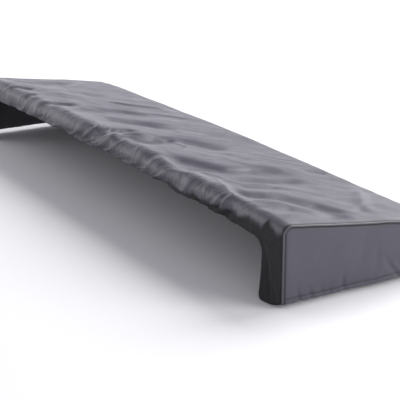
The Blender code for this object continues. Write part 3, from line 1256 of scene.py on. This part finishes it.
    def build(self, outer: bpy.types.Material, inner: bpy.types.Material) -> bpy.types.Object:
        """Makes the panel in place of its solid.

        Args:
            outer: Finish of the outside.
            inner: Finish of the inside.

        Returns:
            The hung panel.
        """
        mesh = bmesh.new()
        bmesh.ops.create_grid(mesh, x_segments=self.columns, y_segments=self.rows, size=0.5)
        bmesh.ops.translate(mesh, verts=mesh.verts, vec=(0.5, 0.5, 0.0))
        if self.end is End.LEFT:
            bmesh.ops.reverse_faces(mesh, faces=mesh.faces)
        piece = self.hang(self.name, mesh, [outer], [inner])
        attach(piece, BODY)
        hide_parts(f"end_panel_{self.end.hand}")
        return piece


@dataclass
class Piping:
    """Corded welt in the seam round one end, from the front hem to the rear hem."""

    form: CoverForm
    end: End
    rings: int = 420

    # Places of the cord on each strip of the section.
    STEPS = {0: 60, 1: 16, 2: 120, 3: 24, 4: 80}
    SWELL, SWELL_RINGS, SWELL_SEED = 0.05, 30, 71.0

    @property
    def name(self) -> str:
        """Name of the piece."""
        return f"piping_{self.end.hand}_cord"

    def centreline(self) -> np.ndarray:
        """Middle of the cord, down to the hem at both of its ends.

        Returns:
            Evenly spaced rows of x, y and z.
        """
        form = self.form
        y, height, strips, shares = Section(form, form.cord / 2).walk(self.STEPS)
        lip = strips == Section.STRIPS - 1
        height[lip] = height[lip][0] * (1.0 - shares[lip])
        height += form.seam_wave(y)
        x = np.full(len(y), self.end.value * (form.half_length - form.cord / 2))
        line = np.stack([x, y, height - form.bearing_height], axis=1)
        ways = ways_along(line)
        return placed_at(np.linspace(0.0, ways[-1], self.rings), ways, line)

    def build(self, finish: bpy.types.Material) -> bpy.types.Object:
        """Makes the cord as a tube that swells and thins a little along its way.

        Args:
            finish: Finish of the welt.

        Returns:
            The cord.
        """
        line = self.centreline()
        curve = bpy.data.curves.new(self.name, "CURVE")
        curve.dimensions = "3D"
        curve.bevel_depth = self.form.cord / 2
        curve.bevel_resolution = 2
        curve.use_fill_caps = True
        spline = curve.splines.new("POLY")
        spline.points.add(len(line) - 1)
        for number, (point, place) in enumerate(zip(spline.points, line)):
            sway = noise.noise((number / self.SWELL_RINGS, 0.0, self.SWELL_SEED + self.end.value))
            point.co = (place[0], place[1], place[2], 1.0)
            point.radius = 1.0 + self.SWELL * sway
        piece = add_object(self.name, curve)
        curve.materials.append(finish)
        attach(piece, BODY)
        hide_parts(f"piping_{self.end.hand}")
        return piece


@dataclass
class Stitching:
    """A row of lockstitches, sewn along a flat line of a cloth."""

    name: str
    cloth: ClothPiece
    line: np.ndarray
    pitch: float = 0.0034
    stitch: float = 0.0028
    thread: float = 0.0006
    sunk: float = 0.00005

    SIDES = 6
    RINGS = 4
    BATCH = 40

    def stitch_line(self) -> np.ndarray:
        """Middles of the stitches, evenly spaced on the hung cloth.

        Returns:
            Rows of flat coordinates.
        """
        ways = ways_along(self.cloth.surface(*self.line.T))
        middles = (np.arange(int(ways[-1] / self.pitch)) + 0.5) * self.pitch
        return placed_at(middles, ways, self.line)

    def build(self, finish: bpy.types.Material) -> bpy.types.Object:
        """Makes the row, each stitch half sunk in the cloth.

        Args:
            finish: Finish of the thread.

        Returns:
            The row.
        """
        data = bpy.data.meshes.new(self.name)
        row = bmesh.new()
        size = Matrix.Diagonal((self.thread / 2, self.thread / 2, self.stitch / 2, 1.0))
        places = list(zip(*self.cloth.directions(self.stitch_line())))
        for first in range(0, len(places), self.BATCH):
            batch = bmesh.new()
            for place, run, out in places[first:first + self.BATCH]:
                run, out = Vector(run), Vector(out)
                turned = Matrix((out.cross(run), out, run)).transposed().to_4x4()
                middle = Matrix.Translation(Vector(place) - self.sunk * out)
                bmesh.ops.create_uvsphere(
                    batch, u_segments=self.SIDES, v_segments=self.RINGS, radius=1.0,
                    matrix=middle @ turned @ size,
                )
            batch.to_mesh(data)
            batch.free()
            row.from_mesh(data)
        row.to_mesh(data)
        row.free()
        data.shade_smooth()
        data.materials.append(finish)
        piece = add_object(self.name, data)
        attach(piece, BODY)
        return piece


@dataclass(frozen=True)
class CoatedNylon:
    """Dark coated nylon: plain weave, crumpled a little, with a broad soft sheen."""

    name: str = "coated nylon"
    colour: tuple[float, float, float] = (0.049, 0.046, 0.065)
    # Colour of the painted shade on the rear band, the returns and the seams.
    rear_colour: tuple[float, float, float] = (0.006, 0.006, 0.007)
    # Colour of the worn edges and of the painted highlight on the rear fold.
    worn_colour: tuple[float, float, float] = (0.130, 0.124, 0.145)
    roughness: float = 0.34
    rear_roughness: float = 0.88
    specular: float = 0.5
    sheen: float = 0.05
    sheen_roughness: float = 0.35
    thread_pitch: float = 0.0007
    mottle: float = 0.10
    crinkle_angle: float = 1.15
    crinkle_level: float = 0.42

    # Scale and detail of each noise, and strength and depth of each bump.
    PATCHES, RUBS, GLOSS = (9.0, 3.0), (160.0, 2.0), (35.0, 2.0)
    CRUMPLE, CRUMPLE_BUMP = (75.0, 4.0), (0.35, 0.0006)
    CRINKLE, CRINKLE_BUMP = (50.0, 2.0), (0.5, 0.0080)
    WEAVE_BUMP = (0.25, 0.00008)
    DULLER, GLOSSIER = 0.05, 0.03

    def material(self) -> bpy.types.Material:
        """Makes the finish.

        Returns:
            The finish, which reads the cut's UV map and the tones of the cloth.
        """
        sheet = NodeSheet(bpy.data.materials.new(self.name))
        place = sheet.add("ShaderNodeTexCoord").outputs["Object"]
        cut = sheet.add("ShaderNodeUVMap", uv_map="cut").outputs["UV"]
        base = sheet.mottled(sheet.noise(place, *self.PATCHES), self.colour, self.mottle)
        # Lighter where the edges are worn and where the rear fold has its painted highlight.
        rubbed = sheet.math("MULTIPLY", sheet.tone("wear"), sheet.noise(place, *self.RUBS))
        base = sheet.mix(rubbed, base, shaded(self.worn_colour))
        # Painted shade on the rear band, the returns and the seams: a darker colour, on rougher
        # cloth.
        dulled = sheet.math("MAXIMUM", sheet.tone("rear_band"), sheet.tone("seam"))
        base = sheet.mix(dulled, base, shaded(self.rear_colour))
        low, high = self.roughness - self.GLOSSIER, self.roughness + self.DULLER
        rough = sheet.range(sheet.noise(place, *self.GLOSS), low, high)
        crumple = sheet.noise(sheet.mapped(place, Scale=(1.0, 0.5, 1.0)), *self.CRUMPLE)
        normal = sheet.bump(crumple, *self.CRUMPLE_BUMP)
        turned = sheet.mapped(cut, Rotation=(0.0, 0.0, self.crinkle_angle))
        crinkle = sheet.noise(sheet.mapped(turned, Scale=(1.0, 0.80, 1.0)), *self.CRINKLE)
        crinkle = sheet.math("ABSOLUTE", sheet.math("SUBTRACT", crinkle, self.crinkle_level))
        crinkle = sheet.math("MULTIPLY", crinkle, sheet.tone("gathered"))
        normal = sheet.bump(crinkle, *self.CRINKLE_BUMP, normal)
        normal = sheet.bump(self.weave(sheet, cut), *self.WEAVE_BUMP, normal)
        return sheet.dress(SHADER, {
            "Base Color": base,
            "Roughness": sheet.mix_value(dulled, rough, self.rear_roughness),
            "Specular IOR Level": self.specular,
            "Sheen Weight": self.sheen,
            "Sheen Roughness": self.sheen_roughness,
            "Normal": normal,
        })

    def weave(self, sheet: "NodeSheet", cut: bpy.types.NodeSocket) -> bpy.types.NodeSocket:
        """Height of a plain weave.

        Args:
            sheet: The finish that it belongs to.
            cut: Coordinates over the flat cut.

        Returns:
            The height, from -1 to 1.
        """
        turns = 2 * math.pi / self.thread_pitch
        axes = sheet.add("ShaderNodeSeparateXYZ", {0: cut}).outputs
        warp, weft = (
            sheet.math("SINE", sheet.math("MULTIPLY", axes[axis], turns)) for axis in ("X", "Y")
        )
        return sheet.math("MULTIPLY", warp, weft)


@dataclass(frozen=True)
class PlainCloth:
    """A plainer cloth finish, for the inside, the welt and the thread."""

    name: str
    colour: tuple[float, float, float]
    roughness: float
    sheen: float
    grain: float
    grain_depth: float

    MOTTLE = 0.15
    UNEVEN = 0.05

    def material(self) -> bpy.types.Material:
        """Makes the finish.

        Returns:
            The finish, with its grain on object coordinates.
        """
        sheet = NodeSheet(bpy.data.materials.new(self.name))
        place = sheet.add("ShaderNodeTexCoord").outputs["Object"]
        patches = sheet.noise(place, self.grain / 8, 2.0)
        low, high = self.roughness - self.UNEVEN, self.roughness + self.UNEVEN
        return sheet.dress(SHADER, {
            "Base Color": sheet.mottled(patches, self.colour, self.MOTTLE),
            "Roughness": sheet.range(patches, low, high),
            "Sheen Weight": self.sheen,
            "Normal": sheet.bump(sheet.noise(place, self.grain, 2.0), 0.5, self.grain_depth),
        })


class NodeSheet:
    """The nodes of a material or of the surround, and short ways to add more."""

    def __init__(self, owner: bpy.types.ID) -> None:
        """Turns the owner's nodes on.

        Args:
            owner: The new material or world.
        """
        owner.use_nodes = True
        self.owner = owner
        self.tree = owner.node_tree

    def feed(self, target: bpy.types.NodeSocket, source: object) -> None:
        """Gives an input its value.

        Args:
            target: The input.
            source: The output that it is linked to, or a plain value.
        """
        if isinstance(source, bpy.types.NodeSocket):
            self.tree.links.new(source, target)
        else:
            target.default_value = source

    def add(self, kind: str, inputs: dict | None = None, **settings: object) -> bpy.types.Node:
        """Adds a node.

        Args:
            kind: Type of the node.
            inputs: Sources of its inputs, by their names or numbers.
            settings: Settings of the node.

        Returns:
            The node.
        """
        node = self.tree.nodes.new(kind)
        for setting, value in settings.items():
            setattr(node, setting, value)
        for name, source in (inputs or {}).items():
            self.feed(node.inputs[name], source)
        return node

    def dress(self, shader: str, values: dict[str, object]) -> bpy.types.ID:
        """Feeds the shader that the owner came with.

        Args:
            shader: Name of its node.
            values: Sources of its inputs, by their names.

        Returns:
            The finished owner.
        """
        for name, source in values.items():
            self.feed(self.tree.nodes[shader].inputs[name], source)
        return self.owner

    def tone(self, name: str) -> bpy.types.NodeSocket:
        """A tone that the cloth carries."""
        return self.add("ShaderNodeAttribute", attribute_name=name).outputs["Fac"]

    def noise(self, place: bpy.types.NodeSocket, scale: float, detail: float) -> bpy.types.NodeSocket:
        """Smooth noise over a place."""
        inputs = {"Vector": place, "Scale": scale, "Detail": detail}
        return self.add("ShaderNodeTexNoise", inputs).outputs["Fac"]

    def mapped(self, place: bpy.types.NodeSocket, **inputs: tuple) -> bpy.types.NodeSocket:
        """A place, turned by a Rotation or scaled by a Scale."""
        return self.add("ShaderNodeMapping", {"Vector": place, **inputs}).outputs["Vector"]

    def math(self, operation: str, first: object, second: object = 0.0) -> bpy.types.NodeSocket:
        """The result of one operation."""
        return self.add("ShaderNodeMath", {0: first, 1: second}, operation=operation).outputs[0]

    def mix(self, share: object, first: object, second: object) -> bpy.types.NodeSocket:
        """A mix of two colours."""
        inputs = {"Factor": share, 6: first, 7: second}
        return self.add("ShaderNodeMix", inputs, data_type="RGBA").outputs[2]

    def mottled(self, share: object, colour: tuple, spread: float) -> bpy.types.NodeSocket:
        """A colour made darker and lighter by up to the spread."""
        return self.mix(share, shaded(colour, 1.0 - spread), shaded(colour, 1.0 + spread))

    def mix_value(self, share: object, first: object, second: object) -> bpy.types.NodeSocket:
        """A mix of two numbers."""
        inputs = {"Factor": share, 2: first, 3: second}
        return self.add("ShaderNodeMix", inputs, data_type="FLOAT").outputs[0]

    def range(self, value: bpy.types.NodeSocket, low: float, high: float) -> bpy.types.NodeSocket:
        """A value from about 0.3 to 0.7 brought to a range."""
        inputs = {"Value": value, "From Min": 0.3, "From Max": 0.7, "To Min": low, "To Max": high}
        return self.add("ShaderNodeMapRange", inputs).outputs["Result"]

    def bump(self, height: bpy.types.NodeSocket, strength: float, distance: float,
             under: bpy.types.NodeSocket | None = None) -> bpy.types.NodeSocket:
        """A bumped normal.

        Args:
            height: Height of the bumps, as a share of their distance.
            strength: Strength of the effect.
            distance: Height of the bumps in metres.
            under: The normal that they lie on, where it is bumped too.

        Returns:
            The normal.
        """
        inputs = {"Height": height, "Strength": strength, "Distance": distance}
        if under is not None:
            inputs["Normal"] = under
        return self.add("ShaderNodeBump", inputs).outputs["Normal"]


@dataclass(frozen=True)
class Softbox:
    """One soft studio light."""

    name: str
    place: tuple[float, float, float]
    aim: tuple[float, float, float]
    size: float
    power: float


@dataclass
class Studio:
    """Pale floor, soft lights and the camera."""

    floor_height: float = -0.1325
    floor_size: float = 30.0
    floor_colour: tuple[float, float, float] = (0.86, 0.86, 0.87)
    floor_roughness: float = 0.7
    floor_specular: float = 0.1
    surround: tuple[float, float, float] = (1.0, 0.985, 1.07)
    surround_strength: float = 1.26
    overhead_strength: float = 0.32
    bright_to: float = 0.22
    dim_from: float = 0.48
    camera_place: tuple[float, float, float] = (-2.1995, 1.2480, 0.6708)
    camera_pitch: float = 71.9941
    camera_heading: float = -120.9091
    lens: float = 110.10

    SOFTBOXES = (
        Softbox("key softbox", (-3.4, -2.2, 1.6), (-0.4, 0.0, 0.0), 2.4, 120.0),
        Softbox("front softbox", (0.6, -3.6, 3.0), (0.0, 0.0, 0.0), 3.2, 260.0),
        Softbox("rear softbox", (3.4, 2.2, 1.2), (0.3, 0.17, 0.0), 3.4, 30.0),
    )

    def build(self) -> None:
        """Sets up the studio."""
        self.add_floor()
        self.add_surround()
        for softbox in self.SOFTBOXES:
            self.add_softbox(softbox)
        self.add_camera()
        bpy.context.scene.view_settings.view_transform = "Standard"

    def add_floor(self) -> None:
        """A plain pale floor."""
        mesh = bmesh.new()
        bmesh.ops.create_grid(mesh, x_segments=1, y_segments=1, size=self.floor_size / 2)
        bmesh.ops.translate(mesh, verts=mesh.verts, vec=(0.0, 0.0, self.floor_height))
        data = bpy.data.meshes.new("studio_floor")
        mesh.to_mesh(data)
        mesh.free()
        data.materials.append(NodeSheet(bpy.data.materials.new("pale floor")).dress(SHADER, {
            "Base Color": shaded(self.floor_colour),
            "Roughness": self.floor_roughness,
            "Specular IOR Level": self.floor_specular,
        }))
        floor = add_object("studio_floor", data)

    def add_surround(self) -> None:
        """A white surround, bright round the horizon and dimmer overhead."""
        sheet = NodeSheet(bpy.data.worlds.new("white surround"))
        way = sheet.add("ShaderNodeTexCoord").outputs["Generated"]
        fall = sheet.add("ShaderNodeMapRange", {
            "Value": sheet.add("ShaderNodeSeparateXYZ", {0: way}).outputs["Z"],
            "From Min": self.bright_to,
            "From Max": self.dim_from,
            "To Min": self.surround_strength,
            "To Max": self.overhead_strength,
        }, interpolation_type="SMOOTHSTEP")
        bpy.context.scene.world = sheet.dress("Background", {
            "Color": shaded(self.surround),
            "Strength": fall.outputs["Result"],
        })

    def add_softbox(self, softbox: Softbox) -> None:
        """A square area light that faces its aim.

        Args:
            softbox: Its name, place, aim, size and power.
        """
        light = bpy.data.lights.new(softbox.name, "AREA")
        light.size = softbox.size
        light.energy = softbox.power
        lamp = add_object(softbox.name, light)
        lamp.location = softbox.place
        way = Vector(softbox.aim) - Vector(softbox.place)
        lamp.rotation_euler = way.to_track_quat("-Z", "Y").to_euler()

    def add_camera(self) -> None:
        """The camera, at the place and angle that the picture was seen from."""
        data = bpy.data.cameras.new("camera")
        data.lens = self.lens
        camera = add_object("camera", data)
        camera.location = self.camera_place
        turn = (self.camera_pitch, 0.0, self.camera_heading)
        camera.rotation_euler = [math.radians(angle) for angle in turn]
        bpy.context.scene.camera = camera


def report(*pieces: bpy.types.Object) -> None:
    """Logs mesh pieces with their numbers of faces."""
    for piece in pieces:
        LOG.info("%s: %d faces", piece.name, len(piece.data.polygons))


def main() -> None:
    """Builds the cover and the studio, and reports each piece."""
    logging.basicConfig(level=logging.INFO, format="%(name)s: %(message)s")
    form = CoverForm()
    nylon = CoatedNylon().material()
    coating = PlainCloth("inner coating", (0.060, 0.058, 0.064), 0.55, 0.0, 400.0, 0.0001).material()
    welt = PlainCloth("welt cloth", (0.062, 0.060, 0.072), 0.40, 0.05, 900.0, 0.0002).material()
    thread = PlainCloth("thread", (0.030, 0.029, 0.034), 0.70, 0.05, 3000.0, 0.0001).material()
    panel = MainPanel(form)
    cloth = panel.build(nylon, coating)
    rows = [
        Stitching(f"{name}_stitching", panel, line).build(thread)
        for name, line in panel.seams().items()
    ]
    report(cloth, *rows)
    for end in End:
        end_panel = EndPanel(form, end=end)
        end_cloth = end_panel.build(nylon, coating)
        row = Stitching(f"end_hem_{end.hand}_stitching", end_panel, end_panel.seam()).build(thread)
        report(end_cloth, row)
        cord = Piping(form, end).build(welt)
        LOG.info("%s: %d rings", cord.name, len(cord.data.splines[0].points))
    Studio().build()


if __name__ == "__main__":
    main()
